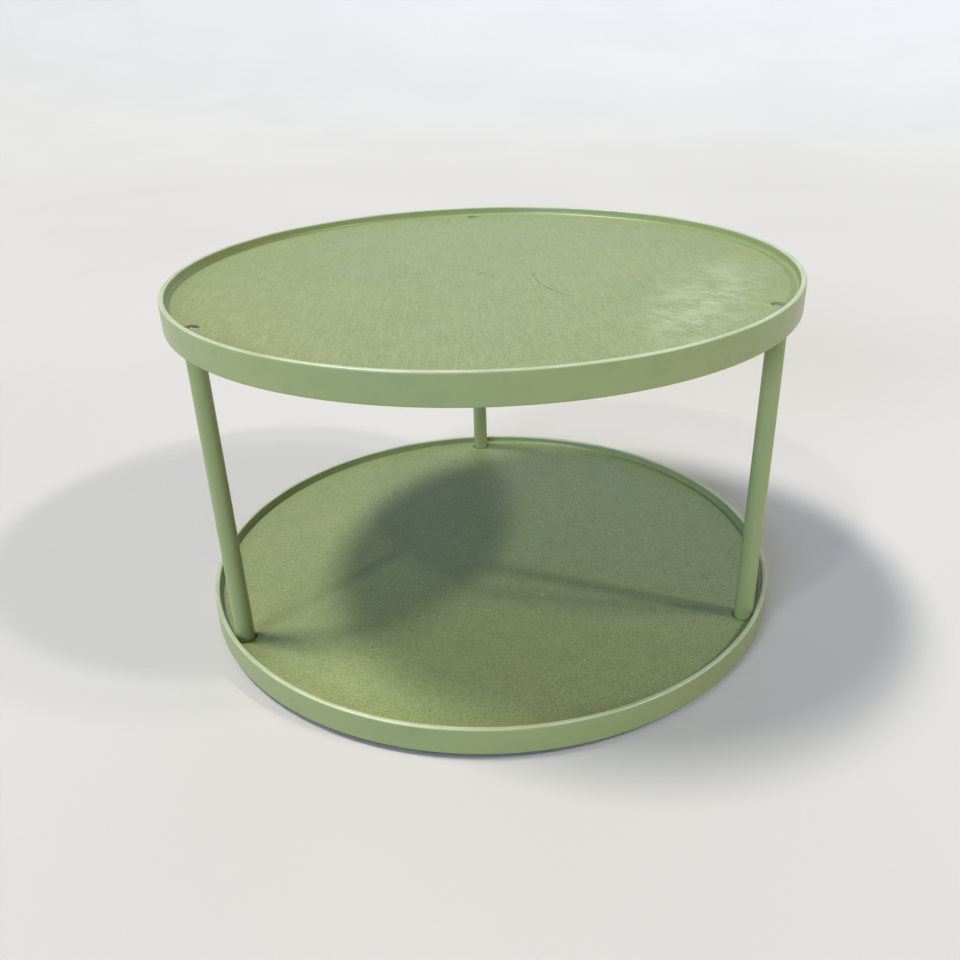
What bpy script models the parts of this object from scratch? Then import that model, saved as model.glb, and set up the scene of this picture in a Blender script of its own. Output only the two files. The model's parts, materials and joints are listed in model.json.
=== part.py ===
"""Two-tier turntable: two rimmed plastic trays on three posts, turning on a ball-bearing base.

Metres, +Z up. The origin lies on the turning axis, on the surface that the foot pads stand on.
"""
import math

import bmesh
import bpy

# ---- Driving dimensions -------------------------------------------------------------------

# Trays: two like mouldings.
TRAY_RADIUS = 0.135
RIM_HEIGHT = 0.012
RIM_WALL = 0.0024
RIM_DEPTH = 0.004
FLOOR_THICKNESS = 0.0022
LIP_RADIUS = 0.0009
FLOOR_FILLET = 0.0015
BOTTOM_EDGE = 0.0005
TIER_SPACING = 0.142

# Posts: slender, a little thinner at the top.
POST_COUNT = 3
BACK_POST_ANGLE = math.radians(90.0)
POST_FOOT_RADIUS = 0.0041
POST_HEAD_RADIUS = 0.00375
POST_END_ROUND = 0.0006
POST_TO_RIM = 0.0002
SOCKET_CLEARANCE = 0.0004
SOCKET_WALL = 0.0018
SOCKET_WEB = 0.001
SOCKET_SETBACK = 0.0003

# Screws that hold the posts: pan heads with a cross recess.
POST_SCREW_RADIUS = 0.0014
POST_SCREW_HEAD_RADIUS = 0.0029
POST_SCREW_HEAD_HEIGHT = 0.0012
POST_SCREW_REACH = 0.009
POST_SCREW_SUNK = 0.0003
FOOT_SCREW_RECESS = 0.0008
SCREW_CLEARANCE = 0.0003
SCREW_HEAD_CLEARANCE = 0.0005
SCREW_TIP_GAP = 0.001
CROSS_WIDTH = 0.0007
CROSS_SHARE_OF_HEAD = 0.62
CROSS_DEPTH = 0.0006

# Ball race between the base plate and the lower tray.
BALL_COUNT = 12
BALL_RADIUS = 0.0025
TRACK_RADIUS = 0.082
CHANNEL_CLEARANCE = 0.0003
CHANNEL_WALL = 0.0015
CAGE_THICKNESS = 0.0018
CAGE_CLEARANCE = 0.0004
CAGE_EDGE = 0.0014

# Base plate and its foot pads.
PLATE_THICKNESS = 0.002
PLATE_MARGIN = 0.0057
PLATE_RIM_WALL = 0.0018
PAD_COUNT = 4
PAD_RADIUS = 0.008
PAD_PROUD = 0.0008
PAD_RECESS = 0.001
PAD_TO_PLATE_EDGE = 0.004
PAD_ANGLE = math.radians(45.0)

# Pivot in the middle: the tray's boss turns in the plate's hub, held by a washer and a screw.
PIVOT_BOSS_RADIUS = 0.0056
PIVOT_CLEARANCE = 0.0004
PIVOT_PLAY = 0.0003
PIVOT_WEB = 0.0014
HUB_WALL = 0.0018
WASHER_RADIUS = 0.009
WASHER_THICKNESS = 0.0008
PIVOT_SCREW_RADIUS = 0.0016
PIVOT_SCREW_HEAD_RADIUS = 0.0036
PIVOT_SCREW_HEAD_HEIGHT = 0.0014
PIVOT_SCREW_LIFT = 0.0005
PIVOT_SKIN = 0.0016

# Pieces that rest on one another keep this gap.
SEAT_GAP = 0.0003

# How finely round shapes are divided.
TRAY_STEPS = 72
PLATE_STEPS = 60
POST_STEPS = 24
SCREW_STEPS = 12
SOCKET_STEPS = 24
BALL_SEGMENTS = 10
BALL_RINGS = 6
CAGE_HOLE_STEPS = 12
PAD_STEPS = 24
CORNER_PIECES = 3
CUTTER_OVERRUN = 0.003
SHARP_ANGLE = math.radians(35.0)

# ---- Sizes and heights that follow from them ----------------------------------------------

inner_radius = TRAY_RADIUS - RIM_WALL
skirt_depth = RIM_HEIGHT - RIM_DEPTH - FLOOR_THICKNESS

plate_bottom = PAD_PROUD
plate_top = plate_bottom + PLATE_THICKNESS
ball_centre = plate_top + SEAT_GAP + BALL_RADIUS
lower_underside = ball_centre + BALL_RADIUS + SEAT_GAP
lower_rim_bottom = lower_underside - skirt_depth
upper_rim_bottom = lower_rim_bottom + TIER_SPACING
lower_floor_top = lower_underside + FLOOR_THICKNESS
upper_floor_top = lower_floor_top + TIER_SPACING
upper_underside = lower_underside + TIER_SPACING

foot_socket_radius = POST_FOOT_RADIUS + SOCKET_CLEARANCE
head_socket_radius = POST_HEAD_RADIUS + SOCKET_CLEARANCE
socket_boss_radius = foot_socket_radius + SOCKET_WALL
post_circle = inner_radius - POST_TO_RIM - foot_socket_radius

foot_boss_bottom = lower_rim_bottom + SOCKET_SETBACK
foot_web_bottom = foot_boss_bottom + FOOT_SCREW_RECESS
foot_web_top = foot_web_bottom + SOCKET_WEB
post_bottom = foot_web_top + SEAT_GAP
foot_screw_seat = foot_web_bottom - SEAT_GAP

head_boss_bottom = upper_rim_bottom + SOCKET_SETBACK
head_recess_bottom = upper_floor_top - POST_SCREW_SUNK - POST_SCREW_HEAD_HEIGHT - SEAT_GAP
head_web_bottom = head_recess_bottom - SOCKET_WEB
post_top = head_web_bottom - SEAT_GAP
top_screw_seat = head_recess_bottom + SEAT_GAP

post_screw_hole = POST_SCREW_RADIUS + SCREW_CLEARANCE
post_screw_length = SOCKET_WEB + 2 * SEAT_GAP + POST_SCREW_REACH
post_pilot_depth = POST_SCREW_REACH + SCREW_TIP_GAP
screw_recess_radius = POST_SCREW_HEAD_RADIUS + SCREW_HEAD_CLEARANCE

channel_half = BALL_RADIUS + CHANNEL_CLEARANCE
channel_inside = TRACK_RADIUS - channel_half
channel_outside = TRACK_RADIUS + channel_half
channel_depth = BALL_RADIUS + SEAT_GAP - CAGE_THICKNESS / 2 - CAGE_CLEARANCE
plate_radius = channel_outside + CHANNEL_WALL + PLATE_MARGIN
pad_circle = plate_radius - PAD_TO_PLATE_EDGE - PAD_RADIUS
pad_top = plate_bottom + PAD_RECESS - SEAT_GAP

pivot_screw_seat = PIVOT_SCREW_LIFT + PIVOT_SCREW_HEAD_HEIGHT
washer_bottom = pivot_screw_seat + SEAT_GAP
washer_top = washer_bottom + WASHER_THICKNESS
pivot_boss_end = washer_top + SEAT_GAP
hub_web_bottom = pivot_boss_end + PIVOT_PLAY
hub_web_top = hub_web_bottom + PIVOT_WEB
hub_bore = PIVOT_BOSS_RADIUS + PIVOT_CLEARANCE
hub_recess = WASHER_RADIUS + PIVOT_CLEARANCE
hub_radius = hub_recess + HUB_WALL
pivot_pilot_radius = PIVOT_SCREW_RADIUS + SCREW_CLEARANCE
pivot_pilot_top = lower_floor_top - PIVOT_SKIN
pivot_screw_length = pivot_pilot_top - SCREW_TIP_GAP - pivot_screw_seat

# ---- Scene, collections and materials -----------------------------------------------------

for old in list(bpy.data.objects):
    bpy.data.objects.remove(old)

parts = bpy.data.collections.new("two_tier_turntable")
cutters = bpy.data.collections.new("cutters")
bpy.context.scene.collection.children.link(parts)
bpy.context.scene.collection.children.link(cutters)


def make_material(name, colour, roughness, metallic=0.0):
    """A Principled material with one colour, roughness and metallic value."""
    material = bpy.data.materials.new(name)
    material.use_nodes = True
    material.diffuse_color = (*colour, 1.0)
    shader = material.node_tree.nodes["Principled BSDF"]
    shader.inputs["Base Color"].default_value = (*colour, 1.0)
    shader.inputs["Roughness"].default_value = roughness
    shader.inputs["Metallic"].default_value = metallic
    return material


TRAY_PLASTIC = make_material("tray_plastic", (0.24, 0.30, 0.12), 0.48)
POST_PLASTIC = make_material("post_plastic", (0.24, 0.30, 0.12), 0.38)
BASE_PLASTIC = make_material("base_plastic", (0.23, 0.29, 0.12), 0.50)
CAGE_PLASTIC = make_material("cage_plastic", (0.72, 0.71, 0.66), 0.45)
PAD_RUBBER = make_material("pad_rubber", (0.035, 0.035, 0.037), 0.85)
SCREW_STEEL = make_material("screw_steel", (0.62, 0.61, 0.58), 0.32, 1.0)
BALL_STEEL = make_material("ball_steel", (0.68, 0.68, 0.69), 0.12, 1.0)


def add_body(name):
    """An empty on the turning axis, which carries the pieces of one rigid body."""
    body = bpy.data.objects.new(name, None)
    parts.objects.link(body)
    return body


BASE_BODY = add_body("base")
CAGE_BODY = add_body("race")
TURNING_BODY = add_body("turntable")

# ---- Shape helpers ------------------------------------------------------------------------


def arc(centre_x, centre_z, radius, start, end):
    """Points on an arc from the start angle to the end angle, in degrees."""
    points = []
    for piece in range(CORNER_PIECES + 1):
        angle = math.radians(start + (end - start) * piece / CORNER_PIECES)
        points.append((centre_x + radius * math.cos(angle), centre_z + radius * math.sin(angle)))
    return points


def on_circle(radius, count, first_angle):
    """Evenly spaced places on a circle about the turning axis."""
    places = []
    for number in range(count):
        angle = first_angle + 2 * math.pi * number / count
        places.append((radius * math.cos(angle), radius * math.sin(angle)))
    return places


def turned(name, profile, steps, collection):
    """A solid of revolution about Z, from a profile of (radius, height) points."""
    mesh = bpy.data.meshes.new(name)
    edges = [(number, number + 1) for number in range(len(profile) - 1)]
    mesh.from_pydata([(radius, 0.0, height) for radius, height in profile], edges, [])
    piece = bpy.data.objects.new(name, mesh)
    collection.objects.link(piece)
    screw = piece.modifiers.new("Turn", "SCREW")
    screw.steps = steps
    screw.render_steps = steps
    screw.use_merge_vertices = True
    screw.merge_threshold = 0.00001
    return piece


def ring(name, profile, steps, collection):
    """As turned, for a profile that closes on itself away from the axis."""
    return turned(name, profile + profile[:1], steps, collection)


def hide_cutter(cutter):
    """Keep a guide shape out of the finished model."""
    cutter.hide_render = True
    cutter.display_type = "WIRE"


def column_cutter(name, places, radius, bottom, top, steps):
    """Upright cylinders at the given places, as one guide shape."""
    shape = bmesh.new()
    for x, y in places:
        made = bmesh.ops.create_cone(shape, cap_ends=True, segments=steps, radius1=radius,
                                     radius2=radius, depth=top - bottom)
        bmesh.ops.translate(shape, verts=made["verts"], vec=(x, y, (top + bottom) / 2))
    mesh = bpy.data.meshes.new(name)
    shape.to_mesh(mesh)
    shape.free()
    cutter = bpy.data.objects.new(name, mesh)
    cutters.objects.link(cutter)
    hide_cutter(cutter)
    return cutter


def combine(piece, other, operation):
    """Join another shape to a piece, or cut it away, by an exact Boolean."""
    boolean = piece.modifiers.new(other.name, "BOOLEAN")
    boolean.operation = operation
    boolean.solver = "EXACT"
    boolean.object = other


def settle(piece, material, body):
    """Make a piece's modifiers permanent, shade it smooth, and give it its material and body."""
    depsgraph = bpy.context.evaluated_depsgraph_get()
    finished = bpy.data.meshes.new_from_object(piece.evaluated_get(depsgraph))
    piece.modifiers.clear()
    piece.data = finished
    finished.name = piece.name
    finished.materials.clear()
    finished.materials.append(material)
    finished.shade_smooth()
    finished.set_sharp_from_angle(angle=SHARP_ANGLE)
    piece.parent = body


def add_copy(name, original, location, body):
    """Another piece with the same mesh, at its own place."""
    piece = bpy.data.objects.new(name, original.data)
    parts.objects.link(piece)
    piece.location = location
    piece.parent = body
    return piece


# ---- Trays --------------------------------------------------------------------------------


def tray_profile(rim_bottom, underside_points):
    """Floor, filleted rim with a round lip, and skirt, then the underside back to the axis."""
    rim_top = rim_bottom + RIM_HEIGHT
    floor_top = rim_top - RIM_DEPTH
    underside = floor_top - FLOOR_THICKNESS
    lip = min(LIP_RADIUS, 0.45 * RIM_WALL)
    fillet = min(FLOOR_FILLET, 0.45 * RIM_DEPTH)
    profile = [(0.0, floor_top)]
    profile += arc(inner_radius - fillet, floor_top + fillet, fillet, -90, 0)
    profile += arc(inner_radius + lip, rim_top - lip, lip, 180, 90)
    profile += arc(TRAY_RADIUS - lip, rim_top - lip, lip, 90, 0)
    profile += [(TRAY_RADIUS, rim_bottom + BOTTOM_EDGE)]
    profile += [(TRAY_RADIUS - BOTTOM_EDGE, rim_bottom)]
    profile += [(inner_radius, rim_bottom), (inner_radius, underside)]
    return profile + underside_points


def add_socket_bosses(tray, name, bottom, underside):
    """Three short bosses under the floor, which the posts stand in."""
    overlap = FLOOR_THICKNESS / 2
    for number, (x, y) in enumerate(post_places):
        boss = column_cutter(f"{name}_{number + 1}", [(x, y)], socket_boss_radius,
                             bottom, underside + overlap, SOCKET_STEPS)
        combine(tray, boss, "UNION")


def cut_sockets(tray, name, profile):
    """The stepped hole of each post: socket, screw hole and screw-head recess in one."""
    for number, (x, y) in enumerate(post_places):
        hole = turned(f"{name}_{number + 1}", profile, SOCKET_STEPS, cutters)
        hole.location = (x, y, 0.0)
        hide_cutter(hole)
        combine(tray, hole, "DIFFERENCE")


post_places = on_circle(post_circle, POST_COUNT, BACK_POST_ANGLE)
POST_NAMES = ["back", "left", "right"]

# Lower tray: underside with the upper half of the ball channel and the pivot boss.
lower_underside_points = [
    (channel_outside + CHANNEL_WALL, lower_underside),
    (channel_outside + CHANNEL_WALL, lower_underside - channel_depth),
    (channel_outside, lower_underside - channel_depth),
    (channel_outside, lower_underside),
    (channel_inside, lower_underside),
    (channel_inside, lower_underside - channel_depth),
    (channel_inside - CHANNEL_WALL, lower_underside - channel_depth),
    (channel_inside - CHANNEL_WALL, lower_underside),
    (PIVOT_BOSS_RADIUS, lower_underside),
    (PIVOT_BOSS_RADIUS, pivot_boss_end),
    (pivot_pilot_radius, pivot_boss_end),
    (pivot_pilot_radius, pivot_pilot_top),
    (0.0, pivot_pilot_top),
]
lower_tray = turned("lower_tray", tray_profile(lower_rim_bottom, lower_underside_points),
                    TRAY_STEPS, parts)
add_socket_bosses(lower_tray, "foot_boss", foot_boss_bottom, lower_underside)
cut_sockets(lower_tray, "foot_socket", [
    (0.0, lower_floor_top + CUTTER_OVERRUN),
    (foot_socket_radius, lower_floor_top + CUTTER_OVERRUN),
    (foot_socket_radius, foot_web_top),
    (post_screw_hole, foot_web_top),
    (post_screw_hole, foot_web_bottom),
    (screw_recess_radius, foot_web_bottom),
    (screw_recess_radius, foot_boss_bottom - CUTTER_OVERRUN),
    (0.0, foot_boss_bottom - CUTTER_OVERRUN),
])
settle(lower_tray, TRAY_PLASTIC, TURNING_BODY)

# Upper tray: a plain underside, and each screw head in a recess of the floor.
upper_tray = turned("upper_tray", tray_profile(upper_rim_bottom, [(0.0, upper_underside)]),
                    TRAY_STEPS, parts)
add_socket_bosses(upper_tray, "head_boss", head_boss_bottom, upper_underside)
cut_sockets(upper_tray, "head_socket", [
    (0.0, upper_floor_top + CUTTER_OVERRUN),
    (screw_recess_radius, upper_floor_top + CUTTER_OVERRUN),
    (screw_recess_radius, head_recess_bottom),
    (post_screw_hole, head_recess_bottom),
    (post_screw_hole, head_web_bottom),
    (head_socket_radius, head_web_bottom),
    (head_socket_radius, head_boss_bottom - CUTTER_OVERRUN),
    (0.0, head_boss_bottom - CUTTER_OVERRUN),
])
settle(upper_tray, TRAY_PLASTIC, TURNING_BODY)

# ---- Posts --------------------------------------------------------------------------------

post_profile = [(0.0, post_top - post_pilot_depth), (post_screw_hole, post_top - post_pilot_depth)]
post_profile += [(post_screw_hole, post_top)]
post_profile += arc(POST_HEAD_RADIUS - POST_END_ROUND, post_top - POST_END_ROUND,
                    POST_END_ROUND, 90, 0)
post_profile += arc(POST_FOOT_RADIUS - POST_END_ROUND, post_bottom + POST_END_ROUND,
                    POST_END_ROUND, 0, -90)
post_profile += [(post_screw_hole, post_bottom), (post_screw_hole, post_bottom + post_pilot_depth)]
post_profile += [(0.0, post_bottom + post_pilot_depth)]

first_post = turned(f"post_{POST_NAMES[0]}", post_profile, POST_STEPS, parts)
settle(first_post, POST_PLASTIC, TURNING_BODY)
first_post.location = (*post_places[0], 0.0)
for post_name, place in zip(POST_NAMES[1:], post_places[1:]):
    add_copy(f"post_{post_name}", first_post, (*place, 0.0), TURNING_BODY)

# ---- Screws -------------------------------------------------------------------------------


def pan_screw(name, head_radius, head_height, shank_radius, shank_length):
    """Pan-head screw, head up, with the underside of its head at height 0."""
    shoulder = 0.5 * head_height
    dome = head_height - shoulder
    profile = [(0.0, head_height), (0.6 * head_radius, head_height)]
    profile += [(0.88 * head_radius, shoulder + 0.6 * dome), (head_radius, shoulder)]
    profile += [(head_radius, 0.0), (shank_radius, 0.0)]
    profile += [(shank_radius, shank_radius - shank_length), (0.0, -shank_length)]
    screw = turned(name, profile, SCREW_STEPS, parts)
    for number, along_x in enumerate((True, False)):
        bar = bmesh.new()
        bmesh.ops.create_cube(bar, size=1.0)
        long_side = 2 * head_radius * CROSS_SHARE_OF_HEAD
        sides = (long_side, CROSS_WIDTH) if along_x else (CROSS_WIDTH, long_side)
        bmesh.ops.scale(bar, verts=bar.verts, vec=(*sides, 2 * CROSS_DEPTH))
        bmesh.ops.translate(bar, verts=bar.verts, vec=(0.0, 0.0, head_height))
        mesh = bpy.data.meshes.new(f"{name}_slot_{number + 1}")
        bar.to_mesh(mesh)
        bar.free()
        slot = bpy.data.objects.new(mesh.name, mesh)
        cutters.objects.link(slot)
        hide_cutter(slot)
        combine(screw, slot, "DIFFERENCE")
    settle(screw, SCREW_STEEL, TURNING_BODY)
    return screw


first_screw = pan_screw(f"top_screw_{POST_NAMES[0]}", POST_SCREW_HEAD_RADIUS,
                        POST_SCREW_HEAD_HEIGHT, POST_SCREW_RADIUS, post_screw_length)
first_screw.location = (*post_places[0], top_screw_seat)
for post_name, place in zip(POST_NAMES[1:], post_places[1:]):
    add_copy(f"top_screw_{post_name}", first_screw, (*place, top_screw_seat), TURNING_BODY)
for post_name, place in zip(POST_NAMES, post_places):
    foot_screw = add_copy(f"foot_screw_{post_name}", first_screw, (*place, foot_screw_seat),
                          TURNING_BODY)
    foot_screw.rotation_euler = (math.pi, 0.0, 0.0)

pivot_screw = pan_screw("pivot_screw", PIVOT_SCREW_HEAD_RADIUS, PIVOT_SCREW_HEAD_HEIGHT,
                        PIVOT_SCREW_RADIUS, pivot_screw_length)
pivot_screw.location = (0.0, 0.0, pivot_screw_seat)
pivot_screw.rotation_euler = (math.pi, 0.0, 0.0)

pivot_washer = ring("pivot_washer", [
    (pivot_pilot_radius, washer_top),
    (WASHER_RADIUS, washer_top),
    (WASHER_RADIUS, washer_bottom),
    (pivot_pilot_radius, washer_bottom),
], PAD_STEPS, parts)
settle(pivot_washer, SCREW_STEEL, TURNING_BODY)

# ---- Base plate and foot pads -------------------------------------------------------------

base_plate = ring("base_plate", [
    (hub_bore, hub_web_top),
    (hub_radius, hub_web_top),
    (hub_radius, plate_top),
    (channel_inside - CHANNEL_WALL, plate_top),
    (channel_inside - CHANNEL_WALL, plate_top + channel_depth),
    (channel_inside, plate_top + channel_depth),
    (channel_inside, plate_top),
    (channel_outside, plate_top),
    (channel_outside, plate_top + channel_depth),
    (channel_outside + CHANNEL_WALL, plate_top + channel_depth),
    (channel_outside + CHANNEL_WALL, plate_top),
    (plate_radius - PLATE_RIM_WALL, plate_top),
    (plate_radius - PLATE_RIM_WALL, plate_top + channel_depth),
    (plate_radius, plate_top + channel_depth),
    (plate_radius, plate_bottom),
    (hub_recess, plate_bottom),
    (hub_recess, hub_web_bottom),
    (hub_bore, hub_web_bottom),
], PLATE_STEPS, parts)
pad_places = on_circle(pad_circle, PAD_COUNT, PAD_ANGLE)
pad_recesses = column_cutter("pad_recesses", pad_places, PAD_RADIUS + SEAT_GAP,
                             plate_bottom - CUTTER_OVERRUN, plate_bottom + PAD_RECESS, PAD_STEPS)
combine(base_plate, pad_recesses, "DIFFERENCE")
settle(base_plate, BASE_PLASTIC, BASE_BODY)

first_pad = turned("foot_pad_1", [
    (0.0, pad_top),
    (PAD_RADIUS, pad_top),
    (PAD_RADIUS, PAD_PROUD / 2),
    (PAD_RADIUS - PAD_PROUD / 2, 0.0),
    (0.0, 0.0),
], PAD_STEPS, parts)
settle(first_pad, PAD_RUBBER, BASE_BODY)
first_pad.location = (*pad_places[0], 0.0)
for number, place in enumerate(pad_places[1:], start=2):
    add_copy(f"foot_pad_{number}", first_pad, (*place, 0.0), BASE_BODY)

# ---- Ball cage and balls ------------------------------------------------------------------

ball_places = on_circle(TRACK_RADIUS, BALL_COUNT, 0.0)
cage_hole = BALL_RADIUS + CHANNEL_CLEARANCE
cage_half = cage_hole + CAGE_EDGE
cage_bottom = ball_centre - CAGE_THICKNESS / 2
cage_top = ball_centre + CAGE_THICKNESS / 2
ball_cage = ring("ball_cage", [
    (TRACK_RADIUS - cage_half, cage_top),
    (TRACK_RADIUS + cage_half, cage_top),
    (TRACK_RADIUS + cage_half, cage_bottom),
    (TRACK_RADIUS - cage_half, cage_bottom),
], PLATE_STEPS, parts)
cage_holes = column_cutter("cage_holes", ball_places, cage_hole, cage_bottom - CUTTER_OVERRUN,
                           cage_top + CUTTER_OVERRUN, CAGE_HOLE_STEPS)
combine(ball_cage, cage_holes, "DIFFERENCE")
settle(ball_cage, CAGE_PLASTIC, CAGE_BODY)

ball_shape = bmesh.new()
bmesh.ops.create_uvsphere(ball_shape, u_segments=BALL_SEGMENTS, v_segments=BALL_RINGS,
                          radius=BALL_RADIUS)
ball_mesh = bpy.data.meshes.new("ball")
ball_shape.to_mesh(ball_mesh)
ball_shape.free()
ball_mesh.materials.append(BALL_STEEL)
ball_mesh.shade_smooth()
for number, place in enumerate(ball_places, start=1):
    ball = bpy.data.objects.new(f"ball_{number:02d}", ball_mesh)
    parts.objects.link(ball)
    ball.location = (*place, ball_centre)
    ball.parent = CAGE_BODY
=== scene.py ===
"""A two-tier turntable: two green plastic trays on three posts, turning on a ball-bearing base.

Metres, +Z up. The sections follow the turntable as it is put together, from the surface that it
stands on upwards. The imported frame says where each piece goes, and this file gives its looks.
"""
import json
import math

import bpy
import numpy as np
from mathutils import Matrix, Vector


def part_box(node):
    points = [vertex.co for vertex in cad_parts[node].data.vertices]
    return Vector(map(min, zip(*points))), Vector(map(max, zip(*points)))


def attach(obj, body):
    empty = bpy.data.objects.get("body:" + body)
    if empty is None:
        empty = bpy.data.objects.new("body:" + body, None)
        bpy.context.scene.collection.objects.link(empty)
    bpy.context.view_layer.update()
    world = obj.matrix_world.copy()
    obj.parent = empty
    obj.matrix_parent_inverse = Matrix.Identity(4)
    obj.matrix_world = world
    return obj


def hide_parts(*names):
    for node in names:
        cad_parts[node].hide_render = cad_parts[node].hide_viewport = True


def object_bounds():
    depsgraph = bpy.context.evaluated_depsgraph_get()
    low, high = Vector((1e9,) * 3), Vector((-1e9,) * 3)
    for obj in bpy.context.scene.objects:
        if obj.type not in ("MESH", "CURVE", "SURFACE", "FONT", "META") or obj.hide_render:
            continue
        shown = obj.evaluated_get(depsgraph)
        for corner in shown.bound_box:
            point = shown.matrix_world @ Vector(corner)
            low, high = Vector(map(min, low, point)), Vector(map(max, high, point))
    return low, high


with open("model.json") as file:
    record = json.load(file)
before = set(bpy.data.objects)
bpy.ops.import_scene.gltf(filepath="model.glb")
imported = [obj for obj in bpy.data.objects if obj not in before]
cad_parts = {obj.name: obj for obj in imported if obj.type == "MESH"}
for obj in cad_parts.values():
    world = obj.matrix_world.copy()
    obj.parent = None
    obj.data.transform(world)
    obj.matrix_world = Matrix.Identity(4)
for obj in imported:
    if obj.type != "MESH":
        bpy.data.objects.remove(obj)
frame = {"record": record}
cad_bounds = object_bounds()

# ---- Camera -------------------------------------------------------------------------------
# Someone stands at the open front, a touch to the left, and looks down on both tiers. The
# camera is tilted by two degrees, as a hand holds it.

tray_low, tray_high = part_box("lower_tray")
tray_radius = tray_high.x

EYE_DISTANCE = 2.933 * tray_radius
EYE_HEIGHT = 1.848 * tray_radius
EYE_BEARING = math.radians(1.51)
HEADING = math.radians(-0.995)
LOOKING_DOWN = math.radians(26.9)
TILT = math.radians(-2.0)
FOCAL_LENGTH_MM = 34.12
SENSOR_WIDTH_MM = 36.0

camera = bpy.data.objects.new("camera", bpy.data.cameras.new("camera"))
bpy.context.scene.collection.objects.link(camera)
camera.data.lens = FOCAL_LENGTH_MM
camera.data.sensor_width = SENSOR_WIDTH_MM
eye = Vector((-EYE_DISTANCE * math.sin(EYE_BEARING), -EYE_DISTANCE * math.cos(EYE_BEARING),
              tray_low.z + EYE_HEIGHT))
camera.matrix_world = (Matrix.Translation(eye) @ Matrix.Rotation(HEADING, 4, "Z")
                       @ Matrix.Rotation(math.pi / 2 - LOOKING_DOWN, 4, "X")
                       @ Matrix.Rotation(TILT, 4, "Z"))
bpy.context.scene.camera = camera
bpy.context.scene.view_settings.view_transform = "Standard"

# ---- Light and floor ----------------------------------------------------------------------
# Five ceiling lamps throw the soft shadows. Two broad ones, a window low at the front left and
# a far wall, give the plastic its cool sheen. The pale matt floor curves up at its edge.

SKY = (0.97, 0.985, 1.0, 1.0)
SKY_STRENGTH = 0.21
WARM = (1.0, 0.97, 0.92)
DAYLIGHT = (0.48, 0.64, 1.0)
BLUE = (0.38, 0.54, 1.0)
LAMP_DISTANCE = 2.0
LAMPS = {
    "ceiling_left": dict(bearing=163, height=66, strength=1.36, spread=8, colour=WARM),
    "ceiling_far_left": dict(bearing=179, height=66, strength=1.15, spread=8, colour=WARM),
    "ceiling_near_left": dict(bearing=226, height=53, strength=0.34, spread=3, colour=WARM),
    "ceiling_right": dict(bearing=-24, height=46, strength=0.86, spread=4, colour=WARM),
    "ceiling_far_right": dict(bearing=-13, height=46, strength=0.40, spread=4, colour=WARM),
    "window": dict(bearing=236, height=16, strength=3.10, spread=24, colour=DAYLIGHT),
    "far_wall": dict(bearing=84, height=33, strength=0.30, spread=40, colour=BLUE),
}
FLOOR_FLAT = 1.4
FLOOR_CURVE = 3.0
FLOOR_CURVE_END = -48
FLOOR_CURVE_PIECES = 48
FLOOR_STEPS = 96
FLOOR_SLAB = 0.02
FLOOR_COLOUR = (0.545, 0.535, 0.505, 1.0)
FLOOR_COLOUR_WORN = (0.525, 0.515, 0.487, 1.0)

world = bpy.data.worlds.new("studio")
bpy.context.scene.world = world
world.use_nodes = True
world.node_tree.nodes["Background"].inputs["Color"].default_value = SKY
world.node_tree.nodes["Background"].inputs["Strength"].default_value = SKY_STRENGTH

middle = (cad_bounds[0] + cad_bounds[1]) / 2
for lamp_name, lamp in LAMPS.items():
    light = bpy.data.lights.new(lamp_name, "SUN")
    light.energy = lamp["strength"]
    light.angle = math.radians(lamp["spread"])
    light.color = lamp["colour"]
    bearing, height = math.radians(lamp["bearing"]), math.radians(lamp["height"])
    towards = Vector((math.cos(bearing) * math.cos(height), math.sin(bearing) * math.cos(height),
                      math.sin(height)))
    holder = bpy.data.objects.new(lamp_name, light)
    holder.location = middle + LAMP_DISTANCE * towards
    holder.rotation_euler = towards.to_track_quat("Z", "Y").to_euler()
    bpy.context.scene.collection.objects.link(holder)


class Flow:
    """A value that changes over a surface. Sums and products of it add Math nodes."""

    def __init__(self, finish, socket):
        self.finish = finish
        self.socket = socket

    def math(self, operation, first, second):
        return self.finish.node("ShaderNodeMath", {"operation": operation}, {0: first, 1: second})

    def __add__(self, other):
        return self.math("ADD", self, other)

    def __sub__(self, other):
        return self.math("SUBTRACT", self, other)

    def __rsub__(self, other):
        return self.math("SUBTRACT", other, self)

    def __mul__(self, other):
        return self.math("MULTIPLY", self, other)

    def __pow__(self, other):
        return self.math("POWER", self, other)

    __radd__ = __add__
    __rmul__ = __mul__

    def steps(self, start, end):
        """0 before start, 1 after end, and a smooth step between; 1 to 0 if end is the lower."""
        return self.finish.node("ShaderNodeMapRange", {"interpolation_type": "SMOOTHSTEP"},
                                {"Value": self, "From Min": start, "From Max": end})


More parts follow.
